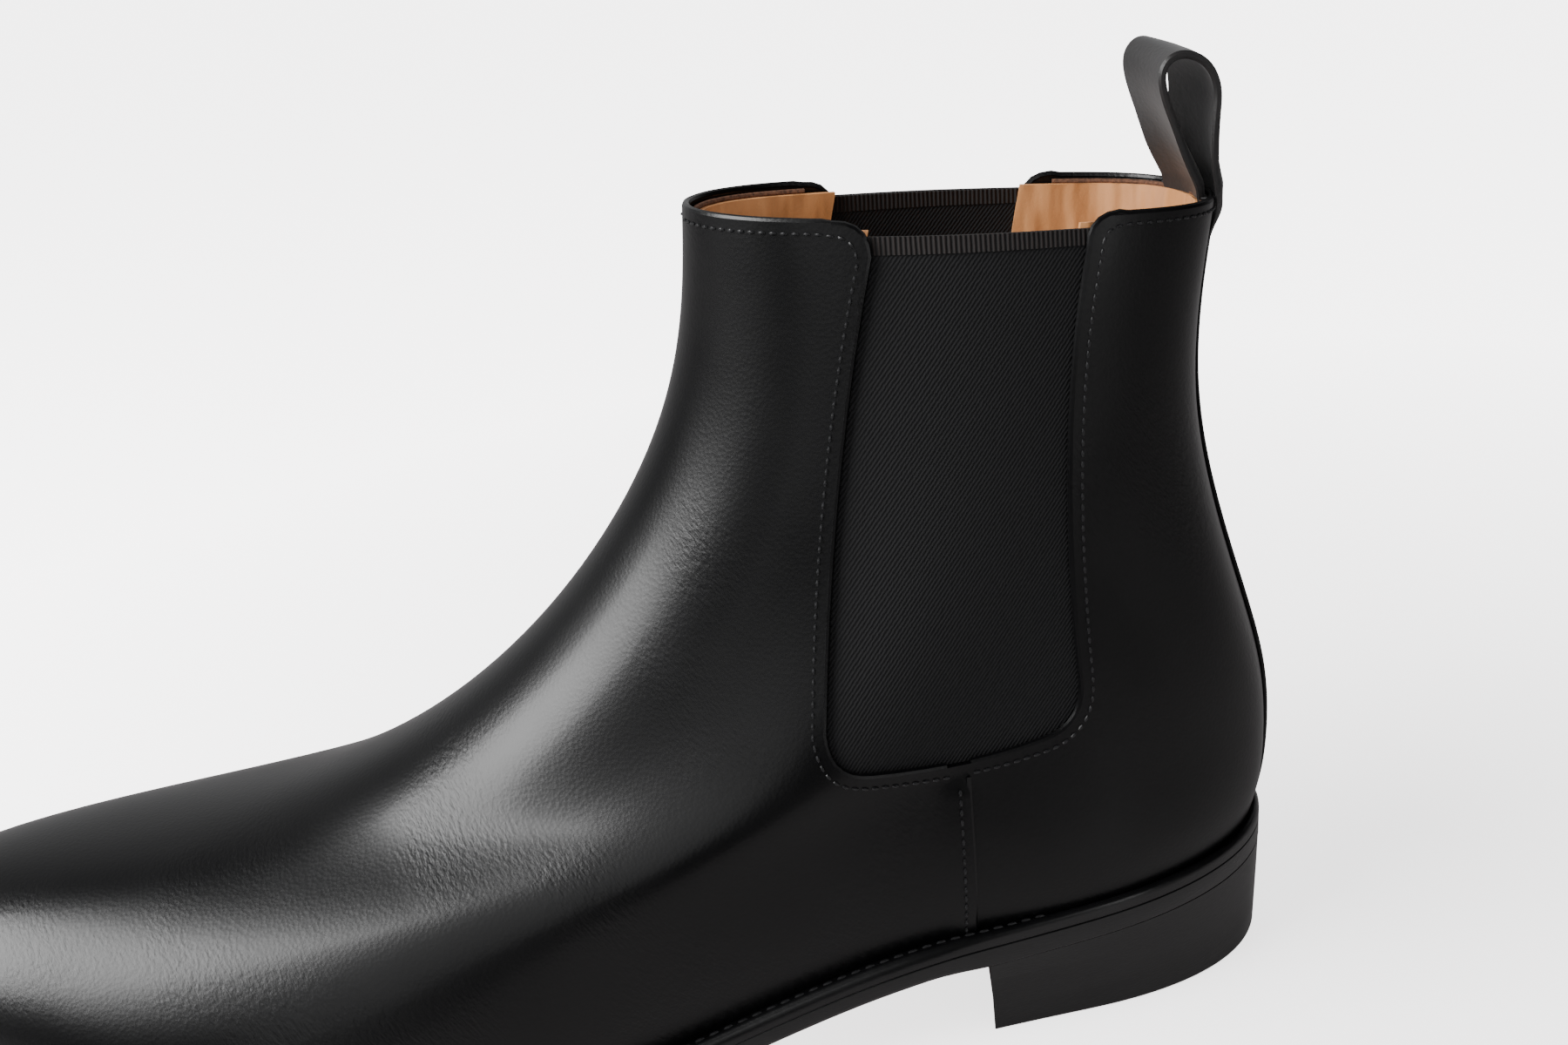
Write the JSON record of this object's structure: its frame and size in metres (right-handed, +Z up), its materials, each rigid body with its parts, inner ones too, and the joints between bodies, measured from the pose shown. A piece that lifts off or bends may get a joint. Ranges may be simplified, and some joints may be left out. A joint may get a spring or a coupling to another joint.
{
  "type": "chelsea boot",
  "caption": "Left ankle boot with elastic side gores, welted leather sole, stacked heel and a strap loop at the back that folds and springs back",
  "frame": {"origin": "on the ground, below the middle of the boot's bounding box", "axes": "-X towards the toe, +X towards the heel, -Y lateral side, +Y medial side, +Z up; millimetres in the design, metres in the row"},
  "size_m": [0.3011, 0.1078, 0.1937],
  "materials": {
    "upper_leather": "black polished box calf",
    "strap_leather": "black calf strap, satin",
    "elastic_webbing": "black twill-woven elastic",
    "lining_leather": "tan calf lining, unpolished",
    "stiffener_board": "pressed leather board",
    "insole_leather": "vegetable-tanned leather",
    "rib_canvas": "canvas gemming",
    "cork": "cork and resin filler",
    "shank_steel": "spring steel",
    "welt_leather": "black edge-inked welt",
    "sole_leather": "red-brown leather underside, black inked edge",
    "heel_leather": "stacked leather, black polished edge",
    "heel_rubber": "black rubber",
    "nail_steel": "steel nails"
  },
  "bodies": {
    "boot": {"vamp": "upper_leather", "quarter_lateral": "upper_leather", "quarter_medial": "upper_leather", "back_strip": "upper_leather", "loop_tail": "strap_leather", "gore_lateral": "elastic_webbing", "gore_medial": "elastic_webbing", "vamp_lining": "lining_leather", "quarter_lining_lateral": "lining_leather", "quarter_lining_medial": "lining_leather", "heel_sock": "lining_leather", "toe_puff": "stiffener_board", "heel_counter": "stiffener_board", "insole": "insole_leather", "insole_rib": "rib_canvas", "cork_filler": "cork", "shank": "shank_steel", "welt": "welt_leather", "outsole": "sole_leather", "heel_lift_1": "heel_leather", "heel_lift_2": "heel_leather", "heel_lift_3": "heel_leather", "top_piece": "heel_rubber", "heel_nails": "nail_steel"},
    "loop": {"pull_loop": "strap_leather"}
  },
  "joints": [
    {"name": "loop_bend", "type": "hinge", "parent": "boot", "child": "loop", "pos_m": [0.13397, -0.00025, 0.16823], "axis": [0, 1, 0], "range_deg": [-60, 70], "stiffness_Nm_per_rad": 0.02}
  ]
}
